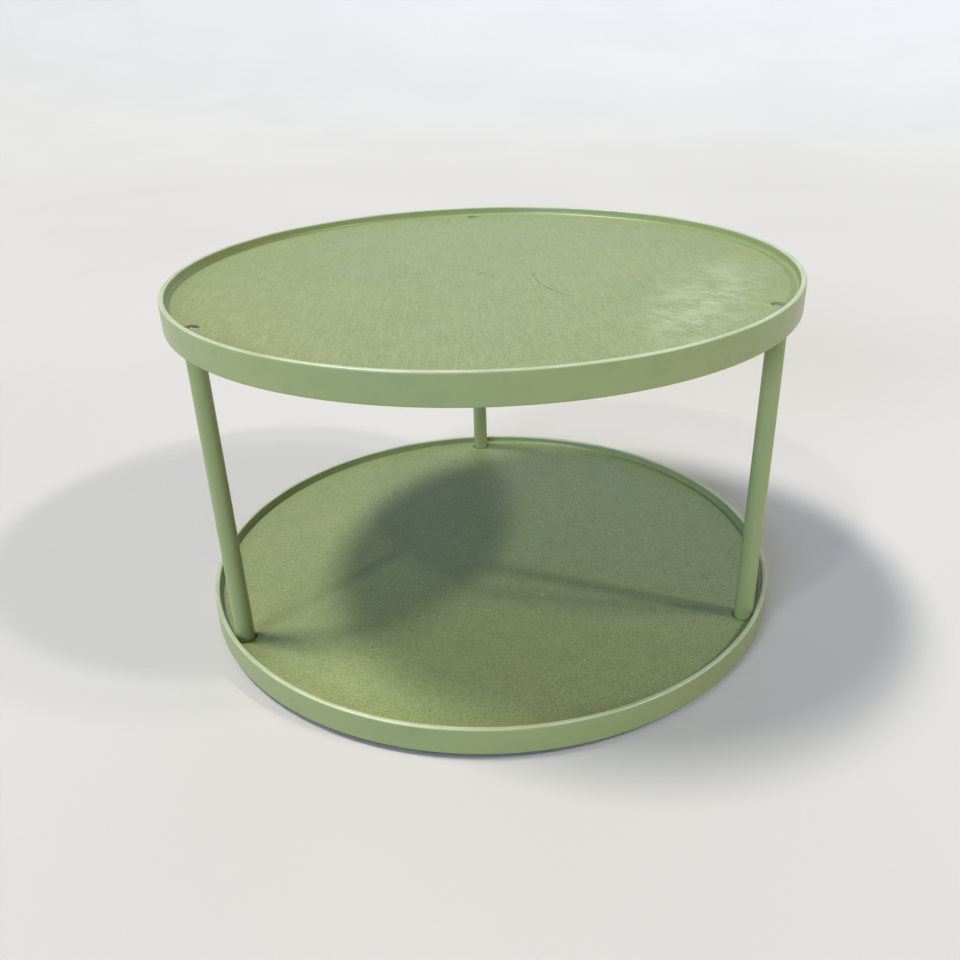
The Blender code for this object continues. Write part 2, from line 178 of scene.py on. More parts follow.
class Finish:
    """A material: its shader's constant values, and the nodes that vary it over a surface."""

    def __init__(self, name, constants):
        self.material = bpy.data.materials.new(name)
        self.material.use_nodes = True
        self.tree = self.material.node_tree
        self.shader = self.tree.nodes["Principled BSDF"]
        for socket, value in constants.items():
            self.shader.inputs[socket].default_value = value
        self.spot = self.node("ShaderNodeTexCoord", {}, {}, "Object")

    def node(self, kind, settings, sockets, output=0):
        """Add a node: first its settings, then the values or links of its sockets."""
        made = self.tree.nodes.new(kind)
        for setting, value in settings.items():
            setattr(made, setting, value)
        for key, value in sockets.items():
            self.feed(made.inputs[key], value)
        return Flow(self, made.outputs[output])

    def feed(self, socket, value):
        """Link a flow to a socket, or set a plain value on it."""
        if isinstance(value, Flow):
            self.tree.links.new(value.socket, socket)
        else:
            socket.default_value = value

    def axes(self, spot=None):
        """The x, y and z of a point of the surface."""
        vector = {"Vector": spot or self.spot}
        return [self.node("ShaderNodeSeparateXYZ", {}, vector, axis) for axis in range(3)]

    def moved(self, shift=(0.0, 0.0, 0.0), turn=0.0, stretch=(1.0, 1.0, 1.0)):
        """Texture coordinates about a place, turned round Z and divided by a length a side."""
        centred = self.node("ShaderNodeVectorMath", {"operation": "SUBTRACT"},
                            {0: self.spot, 1: shift})
        return self.node("ShaderNodeMapping", {"vector_type": "TEXTURE"},
                         {"Vector": centred, "Rotation": (0.0, 0.0, turn), "Scale": stretch})

    def noise(self, size, detail=2.0, roughness=0.5, spot=None):
        """Cloudy noise around 0.5, with lumps of about the given size in metres."""
        return self.node("ShaderNodeTexNoise", {},
                         {"Vector": spot or self.spot, "Scale": 1 / size, "Detail": detail,
                          "Roughness": roughness})

    def specks(self, spacing, width, share):
        """1 in round specks of a width, one in a share of the cells of the given spacing."""
        cell = {"Vector": self.spot, "Scale": 1 / spacing, "Randomness": 1.0}
        distance = self.node("ShaderNodeTexVoronoi", {"voronoi_dimensions": "3D"}, cell, "Distance")
        colour = self.node("ShaderNodeTexVoronoi", {"voronoi_dimensions": "3D"}, cell, "Color")
        chance = self.node("ShaderNodeSeparateColor", {}, {"Color": colour}, 0)
        reach = width / spacing / 2
        return distance.steps(reach, 0.6 * reach) * chance.steps(1 - share, 1.02 - share)

    def mix(self, share, first, second):
        """The first colour where share is 0, and the second where it is 1."""
        return self.node("ShaderNodeMix", {"data_type": "RGBA"},
                         {0: share, 6: first, 7: second}, 2)

    def bump(self, height, relief, under=None):
        """A surface normal for a height map of the given relief, in metres."""
        sockets = {"Height": height, "Distance": relief, "Strength": 1.0}
        if under is not None:
            sockets["Normal"] = under
        return self.node("ShaderNodeBump", {}, sockets)

    def set(self, **flows):
        """Feed the shader's sockets, named in lower case with underscores."""
        for name, value in flows.items():
            self.feed(self.shader.inputs[name.replace("_", " ").title()], value)


def arc(centre, radius, start, end, pieces):
    """Points at the centre plus radius times (cos, sin) of angles in even steps, in degrees."""
    angles = np.radians(np.linspace(start, end, pieces + 1))
    return np.column_stack((centre[0] + radius * np.cos(angles),
                            centre[1] + radius * np.sin(angles)))


def skin(name, radii, heights, steps, centre=(0.0, 0.0, 0.0), closed=False, upside_down=False):
    """A surface about an upright axis. Row i at turn j lies at (radii[i, j] cos j,
    radii[i, j] sin j, heights[i, j]) from the centre. A first or last row at radius 0 becomes
    one pole, and a closed profile joins its last row to its first."""
    turns = 2 * np.pi * np.arange(steps) / steps
    radii, heights = np.broadcast_arrays(radii, heights)
    radii = radii * np.ones(steps)
    heights = heights * np.ones(steps)
    points = np.stack((radii * np.cos(turns), radii * np.sin(turns), heights), axis=-1)
    has_pole = [not closed and not radii[row].any() for row in (0, -1)]
    rings = points[int(has_pole[0]):len(points) - int(has_pole[1])]
    index = np.arange(rings.shape[0] * steps).reshape(-1, steps)
    if closed:
        index = np.vstack((index, index[:1]))
    after = np.roll(index, -1, axis=1)
    faces = np.stack((index[:-1], index[1:], after[1:], after[:-1]), -1).reshape(-1, 4).tolist()
    vertices = rings.reshape(-1, 3)
    if has_pole[0]:
        faces += np.column_stack((np.full(steps, len(vertices)), index[0], after[0])).tolist()
        vertices = np.vstack((vertices, points[0, 0]))
    if has_pole[1]:
        faces += np.column_stack((np.full(steps, len(vertices)), after[-1], index[-1])).tolist()
        vertices = np.vstack((vertices, points[-1, 0]))
    if upside_down:
        vertices = vertices * (1.0, -1.0, -1.0)
    mesh = bpy.data.meshes.new(name)
    mesh.from_pydata((vertices + np.array(centre)).tolist(), [], faces)
    return mesh


def turned(name, profile, steps, centre=(0.0, 0.0, 0.0), closed=False):
    """A surface of revolution: each (radius, height) of the profile is the same all the way
    round. The profile runs from the top of the axis out, down and back in."""
    profile = np.vstack(profile)
    return skin(name, profile[:, :1], profile[:, 1:], steps, centre, closed)


studio_floor = Finish("studio_floor", {"Roughness": 0.9, "Specular IOR Level": 0.1})
studio_floor.set(base_color=studio_floor.mix(studio_floor.noise(0.35, 4.0).steps(0.35, 0.7),
                                             FLOOR_COLOUR, FLOOR_COLOUR_WORN))
floor_edge = arc((FLOOR_FLAT, FLOOR_CURVE), FLOOR_CURVE, -90, FLOOR_CURVE_END,
                 FLOOR_CURVE_PIECES)
floor_profile = [[(0.0, 0.0)], floor_edge, [floor_edge[-1] + (FLOOR_SLAB, 0.0)],
                 [(floor_edge[-1, 0] + FLOOR_SLAB, -FLOOR_SLAB), (0.0, -FLOOR_SLAB)]]
floor = bpy.data.objects.new("studio_floor", turned("studio_floor", floor_profile, FLOOR_STEPS))
floor.data.materials.append(studio_floor.material)
bpy.context.scene.collection.objects.link(floor)

# ---- Base plate ---------------------------------------------------------------------------
# The round plate that stands still. It is moulded in the same green plastic, left plain, with
# a hub for the pivot, two low ribs that keep the balls on their track, and an outer rib.

GREEN = (0.243, 0.298, 0.116, 1.0)
GREEN_WARM = (0.264, 0.303, 0.118, 1.0)
GREEN_DEEP = (0.115, 0.150, 0.055, 1.0)
SHARP_ANGLE = math.radians(32)
PLATE_STEPS = 240
PLATE_WEB = 0.0020
PLATE_RIM_WALL = 0.0018
CHANNEL_WALL = 0.0015
CHANNEL_HALF = 0.0028
RIB_HEIGHT = 0.0015
HUB_BORE = 0.0060
HUB_WALL = 0.0018
HUB_WEB = 0.0014
HUB_PLAY = 0.0004
EDGE = 0.0003
PAD_GAP = 0.0003
PAD_RECESS = 0.0010
CUT_PAST = 0.002
CUT_STEPS = 64


def join(piece, other, operation):
    """Add another shape to a piece, or cut it away, for good."""
    tool = bpy.data.objects.new("tool", other)
    bpy.context.scene.collection.objects.link(tool)
    boolean = piece.modifiers.new("join", "BOOLEAN")
    boolean.operation = operation
    boolean.solver = "EXACT"
    boolean.object = tool
    piece.data = bpy.data.meshes.new_from_object(
        piece.evaluated_get(bpy.context.evaluated_depsgraph_get()))
    piece.modifiers.clear()
    bpy.data.objects.remove(tool)


def shade(piece):
    """Shade the piece smooth, with hard edges, and with flat faces that stay flat."""
    piece.data.shade_smooth()
    piece.data.set_sharp_from_angle(angle=SHARP_ANGLE)
    even = piece.modifiers.new("even", "WEIGHTED_NORMAL")
    even.mode = "FACE_AREA"
    even.keep_sharp = True
    piece.data = bpy.data.meshes.new_from_object(
        piece.evaluated_get(bpy.context.evaluated_depsgraph_get()))
    piece.modifiers.clear()


def loose(name, mesh):
    """A new mesh as an object in the scene, not yet finished."""
    piece = bpy.data.objects.new(name, mesh)
    bpy.context.scene.collection.objects.link(piece)
    return piece


def fit(piece, finish, slot, body, *nodes):
    """Give a shaped piece its finish, and let it stand for its CAD nodes on their body."""
    shade(piece)
    piece.data.name = piece.name
    piece.data.materials.clear()
    piece.data.materials.append(finish.material)
    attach(piece, body)
    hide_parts(*nodes)


def plain_green(name, roughness):
    """Green moulded plastic straight from a plain tool: cloudy colour, fine relief, dull marks."""
    finish = Finish(name, {"IOR": 1.5})
    cloud = finish.noise(0.045, 3.0).steps(0.3, 0.7)
    grain = finish.noise(0.0006, 2.0)
    colour = finish.mix(cloud, GREEN, GREEN_WARM)
    colour = finish.mix(grain.steps(0.45, 0.8) * 0.25, colour, GREEN_DEEP)
    dull = finish.noise(0.012, 4.0, 0.6).steps(0.4, 0.7)
    finish.set(base_color=colour, roughness=dull * 0.12 + roughness,
               normal=finish.bump(grain, 0.00002))
    return finish


plate_low, plate_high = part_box("base_plate")
ball_low, ball_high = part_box("ball_01")
washer_low, washer_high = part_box("pivot_washer")
track_radius = (ball_low.x + ball_high.x) / 2
ball_radius = (ball_high.x - ball_low.x) / 2
plate_radius = plate_high.x
plate_top = plate_low.z + PLATE_WEB
channel_in = track_radius - CHANNEL_HALF
channel_out = track_radius + CHANNEL_HALF
rib_top = plate_top + RIB_HEIGHT
hub_recess = washer_high.x + HUB_PLAY
hub_radius = hub_recess + HUB_WALL
hub_top = plate_high.z
hub_web = hub_top - HUB_WEB


def rounded(corners, radius, pieces=3):
    """A closed outline of (radius, height) corners, each one rounded. With t from 0 to 1 the
    curve is (1 - t) squared of its start, twice t (1 - t) of the corner, and t squared of its
    end, which lie a radius before and after the corner, so it stays within the corners."""
    corners = np.array(corners)
    before = corners - np.roll(corners, 1, axis=0)
    after = np.roll(corners, -1, axis=0) - corners
    before /= np.linalg.norm(before, axis=1, keepdims=True)
    after /= np.linalg.norm(after, axis=1, keepdims=True)
    share = np.linspace(0.0, 1.0, pieces + 1)[None, :, None]
    start = (corners - radius * before)[:, None, :]
    end = (corners + radius * after)[:, None, :]
    corner = corners[:, None, :]
    curve = (1 - share) ** 2 * start + 2 * share * (1 - share) * corner + share ** 2 * end
    return curve.reshape(-1, 2)


base_finish = plain_green("base_green", 0.46)
plate_outline = rounded([
    (HUB_BORE, hub_top), (hub_radius, hub_top), (hub_radius, plate_top),
    (channel_in - CHANNEL_WALL, plate_top), (channel_in - CHANNEL_WALL, rib_top),
    (channel_in, rib_top), (channel_in, plate_top), (channel_out, plate_top),
    (channel_out, rib_top), (channel_out + CHANNEL_WALL, rib_top),
    (channel_out + CHANNEL_WALL, plate_top), (plate_radius - PLATE_RIM_WALL, plate_top),
    (plate_radius - PLATE_RIM_WALL, rib_top), (plate_radius, rib_top),
    (plate_radius, plate_low.z), (hub_recess, plate_low.z), (hub_recess, hub_web),
    (HUB_BORE, hub_web)], EDGE)
base_plate = loose("turntable_base", turned("turntable_base", plate_outline, PLATE_STEPS,
                                            closed=True))
pads = [f"foot_pad_{number}" for number in range(1, 5)]
for pad in pads:
    pad_low, pad_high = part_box(pad)
    pad_middle = (pad_low + pad_high) / 2
    recess_radius = pad_high.x - pad_middle.x + PAD_GAP
    recess_roof = plate_low.z + PAD_RECESS
    recess = [(0.0, recess_roof), (recess_radius, recess_roof), (recess_radius, -CUT_PAST),
              (0.0, -CUT_PAST)]
    join(base_plate, turned("recess", recess, CUT_STEPS, (pad_middle.x, pad_middle.y, 0.0)),
         "DIFFERENCE")
fit(base_plate, base_finish, "base_plastic", "base", "base_plate")

# ---- Foot pads ----------------------------------------------------------------------------
# Four round pads of black rubber, stuck into recesses under the base plate. Fine rings in the
# face that meets the table keep them from slipping.

PAD_STEPS = 72
PAD_RINGS = 6
PAD_RING_POINTS = 12
PAD_RING_MARGIN = 0.0003
PAD_RING_DEPTH = 0.00015
PAD_EDGE = 0.0004
PAD_TOP_EDGE = 0.0002
RUBBER_BLACK = (0.028, 0.028, 0.030, 1.0)
RUBBER_DUSTY = (0.13, 0.125, 0.115, 1.0)

rubber = Finish("black_rubber", {"IOR": 1.5})
rubber_dust = rubber.noise(0.004, 4.0, 0.6).steps(0.5, 0.85)
rubber.set(base_color=rubber.mix(rubber_dust * 0.35, RUBBER_BLACK, RUBBER_DUSTY),
           roughness=rubber_dust * 0.15 + 0.72,
           normal=rubber.bump(rubber.noise(0.0004, 3.0), 0.00004))
ring_points = PAD_RING_POINTS * PAD_RINGS + 1
ring_wave = 0.5 - 0.5 * np.cos(2 * np.pi * np.linspace(0.0, PAD_RINGS, ring_points))
for pad in pads:
    pad_low, pad_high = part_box(pad)
    pad_middle = (pad_low + pad_high) / 2
    pad_radius = pad_high.x - pad_middle.x
    ring_radii = np.linspace(pad_radius - PAD_EDGE - PAD_RING_MARGIN, 0.0, ring_points)
    profile = [[(0.0, pad_high.z)],
               arc((pad_radius - PAD_TOP_EDGE, pad_high.z - PAD_TOP_EDGE), PAD_TOP_EDGE,
                   90, 0, 3),
               arc((pad_radius - PAD_EDGE, pad_low.z + PAD_EDGE), PAD_EDGE, 0, -90, 5),
               np.column_stack((ring_radii, pad_low.z + PAD_RING_DEPTH * ring_wave))]
    piece = loose(pad.replace("foot_pad", "rubber_foot"),
                  turned(pad, profile, PAD_STEPS, (pad_middle.x, pad_middle.y, 0.0)))
    fit(piece, rubber, "pad_rubber", "base", pad)

# ---- Ball cage and balls ------------------------------------------------------------------
# A flat moulded ring keeps twelve polished steel balls evenly apart on their track. It lies
# loose between the base plate and the lower tray, and rolls round at half the tray's speed.

BALL_PLAY = 0.0003
BALL_STEPS = 48
HOLE_OVERCUT = 0.001
IVORY = (0.74, 0.73, 0.67, 1.0)
IVORY_AGED = (0.66, 0.64, 0.56, 1.0)
BRIGHT_STEEL = (0.66, 0.66, 0.67, 1.0)
OILED_STEEL = (0.50, 0.49, 0.46, 1.0)

ivory = Finish("ivory_plastic", {"IOR": 1.5})
ivory_cloud = ivory.noise(0.009, 4.0, 0.6).steps(0.35, 0.75)
ivory.set(base_color=ivory.mix(ivory_cloud, IVORY, IVORY_AGED),
          roughness=ivory_cloud * 0.12 + 0.40,
          normal=ivory.bump(ivory.noise(0.0009, 3.0), 0.00003))
cage_low, cage_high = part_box("ball_cage")
cage_bore = 2 * track_radius - cage_high.x
ring_outline = rounded([(cage_high.x, cage_high.z), (cage_high.x, cage_low.z),
                        (cage_bore, cage_low.z), (cage_bore, cage_high.z)], EDGE)
cage = loose("ball_ring", turned("ball_ring", ring_outline, PLATE_STEPS, closed=True))
balls = [f"ball_{number:02d}" for number in range(1, 13)]
hole_mouth = ball_radius + BALL_PLAY + EDGE
hole_top = cage_high.z + HOLE_OVERCUT
hole_bottom = cage_low.z - HOLE_OVERCUT
hole = [[(0.0, hole_top), (hole_mouth, hole_top)],
        arc((hole_mouth, cage_high.z - EDGE), EDGE, 90, 180, 3),
        arc((hole_mouth, cage_low.z + EDGE), EDGE, 180, 270, 3),
        [(hole_mouth, hole_bottom), (0.0, hole_bottom)]]
for ball in balls:
    ball_low, ball_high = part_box(ball)
    centre = (ball_low + ball_high) / 2
    join(cage, turned("hole", hole, BALL_STEPS, (centre.x, centre.y, 0.0)), "DIFFERENCE")
fit(cage, ivory, "cage_plastic", "race", "ball_cage")

bearing_steel = Finish("bearing_steel", {"Metallic": 1.0})
oil = bearing_steel.noise(0.0012, 3.0, 0.6).steps(0.4, 0.75)
bearing_steel.set(base_color=bearing_steel.mix(oil, BRIGHT_STEEL, OILED_STEEL),
                  roughness=oil * 0.14 + 0.08)
sphere = arc((0.0, 0.0), ball_radius, 90, -90, BALL_STEPS // 2)
sphere[[0, -1], 0] = 0.0
for ball in balls:
    ball_low, ball_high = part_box(ball)
    centre = (ball_low + ball_high) / 2
    piece = loose(ball.replace("ball", "bearing_ball"), turned(ball, sphere, BALL_STEPS, centre))
    fit(piece, bearing_steel, "ball_steel", "race", ball)

# ---- Lower tray ---------------------------------------------------------------------------
# One moulding in sage green plastic: a flat floor with a fine matt grain, a plain rim with a
# round lip, and underneath a ball track, a pivot boss and three bosses that the posts stand in.

TRAY_STEPS = 360
RIM_WALL = 0.0024
LIP_RADIUS = 0.0009
FILLET = 0.0015
FLOOR_THICKNESS = 0.0022
BOTTOM_EDGE = 0.0005
MOUTH = 0.00018
FLOOR_MARGIN = 0.0004
FLOOR_RINGS = np.linspace(0.1, 0.9, 9)
BOSS_STEPS = 96
CUT_ABOVE = 0.003
SOCKET_PLAY = 0.0004
SOCKET_WALL = 0.0018
SOCKET_WEB = 0.0010
SOCKET_SETBACK = 0.0003
SEAT_GAP = 0.0003
SCREW_HOLE = 0.0017
SCREW_RECESS = 0.0034
FOOT_SCREW_RECESS = 0.0008
BOSS_FOOT = 0.0002
PIVOT_BOSS = 0.0056
PIVOT_BOSS_ROOT = 0.0004
PIVOT_PILOT = 0.0019
PIVOT_SKIN = 0.0016
POSTS = ("back", "left", "right")
GREEN_PALE = (0.50, 0.55, 0.37, 1.0)
FLOOR_FADE = (0.0006, 0.0002)
LIP_FADE = (0.0005, 0.0001)
RIM_SQUEEZE = 60.0

inner_radius = tray_radius - RIM_WALL
rim_height = tray_high.z - tray_low.z
mount_heights = {mount["name"]: mount["pos_m"][2] for mount in frame["record"]["mounts"]}
lower_floor = mount_heights["lower_tray_floor"]


def post_place(side):
    """The upright axis of a post, and its largest radius."""
    low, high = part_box(f"post_{side}")
    return (low.x + high.x) / 2, (low.y + high.y) / 2, (high.x - low.x) / 2


def tray_profile(rim_bottom, floor_top, middle_part, underside):
    """The tray from the middle of its floor out: fillet, rim, round lip, skirt, and the
    underside back to the axis. Extra rings beside the fillet keep the floor's shading flat."""
    rim_top = rim_bottom + rim_height
    wide = inner_radius - FILLET
    rings = np.column_stack((wide * FLOOR_RINGS, np.full(len(FLOOR_RINGS), floor_top)))
    return [middle_part, rings, [(wide - FLOOR_MARGIN, floor_top)],
            arc((wide, floor_top + FILLET), FILLET, -90, 0, 10),
            arc((inner_radius + LIP_RADIUS, rim_top - LIP_RADIUS), LIP_RADIUS, 180, 90, 10),
            arc((tray_radius - LIP_RADIUS, rim_top - LIP_RADIUS), LIP_RADIUS, 90, 0, 10),
            arc((tray_radius - BOTTOM_EDGE, rim_bottom + BOTTOM_EDGE), BOTTOM_EDGE, 0, -90, 4),
            arc((inner_radius + EDGE, rim_bottom + EDGE), EDGE, 270, 180, 3),
            [(inner_radius, floor_top - FLOOR_THICKNESS - EDGE)],
            [(inner_radius - EDGE, floor_top - FLOOR_THICKNESS)], underside]


def add_boss(tray, x, y, radius, bottom, underside):
    """A round boss under the floor, with a small fillet at its root and a rounded end."""
    root = underside + FLOOR_THICKNESS / 2
    boss = [[(0.0, root), (radius + BOSS_FOOT, root)],
            arc((radius + 2 * BOSS_FOOT, underside - BOSS_FOOT), 2 * BOSS_FOOT, 90, 180, 4),
            arc((radius - EDGE, bottom + EDGE), EDGE, 0, -90, 3), [(0.0, bottom)]]
    join(tray, turned("boss", boss, BOSS_STEPS, (x, y, 0.0)), "UNION")


lower_underside = lower_floor - FLOOR_THICKNESS
rib_bottom = lower_underside - RIB_HEIGHT
boss_end = washer_high.z + SEAT_GAP
pilot_top = lower_floor - PIVOT_SKIN
lower_profile = tray_profile(tray_low.z, lower_floor, [(0.0, lower_floor)], [
    (channel_out + CHANNEL_WALL, lower_underside), (channel_out + CHANNEL_WALL, rib_bottom),
    (channel_out, rib_bottom), (channel_out, lower_underside),
    (channel_in, lower_underside), (channel_in, rib_bottom),
    (channel_in - CHANNEL_WALL, rib_bottom), (channel_in - CHANNEL_WALL, lower_underside),
    (PIVOT_BOSS + PIVOT_BOSS_ROOT, lower_underside),
    (PIVOT_BOSS, lower_underside - PIVOT_BOSS_ROOT),
    (PIVOT_BOSS, boss_end + EDGE), (PIVOT_BOSS - EDGE, boss_end), (PIVOT_PILOT, boss_end),
    (PIVOT_PILOT, pilot_top), (0.0, pilot_top)])
lower_tray = loose("lower_tier", turned("lower_tier", lower_profile, TRAY_STEPS))
foot_boss = tray_low.z + SOCKET_SETBACK
foot_web = foot_boss + FOOT_SCREW_RECESS
for side in POSTS:
    x, y, post_radius = post_place(side)
    socket = post_radius + SOCKET_PLAY
    add_boss(lower_tray, x, y, socket + SOCKET_WALL, foot_boss, lower_underside)
    hole = [[(0.0, lower_floor + CUT_ABOVE), (socket + MOUTH, lower_floor + CUT_ABOVE)],
            arc((socket + MOUTH, lower_floor - MOUTH), MOUTH, 90, 180, 4),
            [(socket, foot_web + SOCKET_WEB), (SCREW_HOLE, foot_web + SOCKET_WEB),
             (SCREW_HOLE, foot_web), (SCREW_RECESS, foot_web),
             (SCREW_RECESS, foot_boss - CUT_PAST), (0.0, foot_boss - CUT_PAST)]]
    join(lower_tray, turned("socket", hole, BOSS_STEPS, (x, y, 0.0)), "DIFFERENCE")


def from_axis(x, y):
    """How far a point is from an upright axis: the square root of x squared plus y squared."""
    return (x * x + y * y) ** 0.5


def tray_green(name, floor_top, rim_top, marks, grain_share, wiped_share):
    """Sage green plastic: grained and matt on the floor, satin on the rim, and the lip paler all
    round, a painted highlight along the top of the rim together with rubbing wear. A cloth wiped
    front to back leaves fine streaks, and the marks add this tray's stains and scratches, with
    painted sheen and painted shade among them. The floor's mask ends in the fillet, and the lip's
    mask just under the top of the rim."""
    finish = Finish(name, {"IOR": 1.5})
    x, y, z = finish.axes()
    radius = from_axis(x, y)
    on_floor = radius.steps(inner_radius - FLOOR_MARGIN, inner_radius - FILLET)
    on_floor = on_floor * z.steps(floor_top - FLOOR_FADE[0], floor_top - FLOOR_FADE[1])
    on_lip = z.steps(rim_top - LIP_FADE[0], rim_top - LIP_FADE[1])
    cloud = finish.noise(0.055, 3.0).steps(0.3, 0.72)
    blotch = finish.noise(0.009, 3.0, 0.6)
    grain = finish.noise(0.0008, 3.0, 0.7)
    wiped = finish.noise(0.0010, 3.0, 0.6, finish.moved(stretch=(1.0, 12.0, 1.0)))
    colour = finish.mix(cloud, GREEN, GREEN_WARM)
    colour = finish.mix(blotch.steps(0.45, 0.75) * 0.14, colour, GREEN_DEEP)
    colour = finish.mix(grain.steps(0.48, 0.66) * on_floor * grain_share, colour, GREEN_DEEP)
    pale_grain = grain.steps(0.46, 0.30) * on_floor * (0.5 * grain_share)
    colour = finish.mix(pale_grain, colour, GREEN_PALE)
    colour = finish.mix(wiped.steps(0.50, 0.70) * on_floor * wiped_share, colour, GREEN_PALE)
    colour = finish.mix(wiped.steps(0.48, 0.30) * on_floor * wiped_share, colour, GREEN_DEEP)
    round_rim = finish.node("ShaderNodeCombineXYZ", {}, {
        "X": y.math("ARCTAN2", y, x), "Y": z * RIM_SQUEEZE, "Z": radius * RIM_SQUEEZE})
    drag = finish.noise(0.12, 4.0, 0.6, round_rim)
    # Painted highlight: the lip is painted paler all round, as light along the top of the rim, and
    # the drag noise varies it like rubbing wear.
    wear_and_highlight = on_lip * (drag.steps(0.25, 0.65) * 0.5 + 0.5)
    colour = finish.mix(wear_and_highlight * 0.9, colour, GREEN_PALE)
    light, dark, relief = marks(finish, x, y, on_floor)
    colour = finish.mix(light, colour, GREEN_PALE)
    colour = finish.mix(dark, colour, GREEN_DEEP)
    smear = finish.noise(0.03, 4.0, 0.6).steps(0.35, 0.75)
    roughness = on_floor * 0.17 + 0.28 + smear * 0.07 + drag * 0.06 + light * 0.12
    height = on_floor * grain + relief
    finish.set(base_color=colour, roughness=roughness,
               normal=finish.bump(height, 0.00010,
                                  finish.bump(finish.noise(0.0035, 2.0), 0.00003)))
    return finish


def spot_at(x, y, place, width):
    """1 within a round spot on the floor, with a soft edge."""
    return from_axis(x - place[0], y - place[1]).steps(width / 2, width / 4)


DUST_AT_BACK_POST = dict(place=(0.0, 0.118), width=0.022)
DARK_SPECK = dict(place=(-0.0165, 0.107), width=0.0028)
FAINT_SPOT = dict(place=(-0.051, 0.068), width=0.006)
SMUDGE = dict(place=(0.101, -0.033), width=0.006)
PALE_GRAINS = [(0.115, 0.044), (0.083, 0.030), (0.052, 0.064), (0.023, -0.041)]
PALE_GRAIN_WIDTH = 0.0024
# Width of the painted shade ring round each socket's mouth.
GAP_SHADE_WIDTH = 0.0010


def lower_marks(finish, x, y, on_floor):
    """Painted shade in the gap round each foot, dust by the back post, a dark speck, a faint spot,
    a smudge, and a few pale specks."""
    pale = finish.specks(0.016, 0.0009, 0.35) * 0.6
    for place in PALE_GRAINS:
        pale = pale + spot_at(x, y, place, PALE_GRAIN_WIDTH) * 0.45
    dust = spot_at(x, y, **DUST_AT_BACK_POST)
    dust = dust * finish.noise(0.0012, 4.0, 0.7).steps(0.48, 0.62)
    speck = spot_at(x, y, **DARK_SPECK)
    smudge = spot_at(x, y, **SMUDGE)
    smudge = smudge * finish.noise(0.0015, 3.0, 0.7).steps(0.45, 0.6)
    spot_and_gap_shade = spot_at(x, y, **FAINT_SPOT) * 0.35
    # Painted shade: a dark ring on the floor round each socket's mouth, where the gap round the
    # post falls in shade.
    for side in POSTS:
        post_x, post_y, post_radius = post_place(side)
        gap = post_radius + SOCKET_PLAY
        spot_and_gap_shade = spot_and_gap_shade + from_axis(x - post_x, y - post_y).steps(gap + GAP_SHADE_WIDTH, gap) * 0.7
    dark = speck * 0.9 + spot_and_gap_shade + smudge * 0.7 + dust * 0.55
    return pale * on_floor, dark * on_floor, pale * -0.5


lower_green = tray_green("lower_tray_green", lower_floor, tray_high.z, lower_marks, 0.60, 0.03)
fit(lower_tray, lower_green, "tray_plastic", "turntable", "lower_tray")

# ---- Foot screws, pivot screw and washer --------------------------------------------------
# Zinc-plated steel. A pan-head screw from below holds each post in its boss, and a larger one
# with a washer keeps the tray on the base plate's hub.

POST_HEAD_HEIGHT = 0.0012
PIVOT_HEAD_HEIGHT = 0.0014
POST_SHANK_RADIUS = 0.0014
PIVOT_SHANK_RADIUS = 0.0016
HEAD_STEPS = 96
HEAD_TOP_SHARE = 0.88
HEAD_TOP_RINGS = 32
DOME_FALL = 0.35
HEAD_SIDE_SHARE = 0.45
HEAD_SIDE_INSET = np.array([0.0, 0.0, 0.0, 0.0, 0.00004, 0.00012])
CROSS_SHARE = 0.62
CROSS_HALF_WIDTH = 0.00036
CROSS_SOFTNESS = 0.00012
CROSS_RAMP = 0.55
CROSS_DEPTH = 0.0006
THREAD_PITCH = 0.0011
THREAD_DEPTH = 0.00028
THREAD_POINTS = 12
THREAD_SHARPNESS = 1.5
THREAD_START = 12
THREAD_TIP = 5
TIP_SHARE = 0.05
WASHER_EDGE = 0.00012
ZINC = (0.66, 0.65, 0.61, 1.0)
ZINC_DULL = (0.42, 0.40, 0.36, 1.0)

zinc = Finish("zinc_steel", {"Metallic": 1.0})
zinc_grain = zinc.noise(0.00025, 3.0, 0.6)
tarnish = zinc.noise(0.0016, 4.0, 0.65).steps(0.42, 0.72)
zinc.set(base_color=zinc.mix(tarnish, ZINC, ZINC_DULL),
         roughness=tarnish * 0.22 + 0.24,
         normal=zinc.bump(zinc_grain, 0.000012))


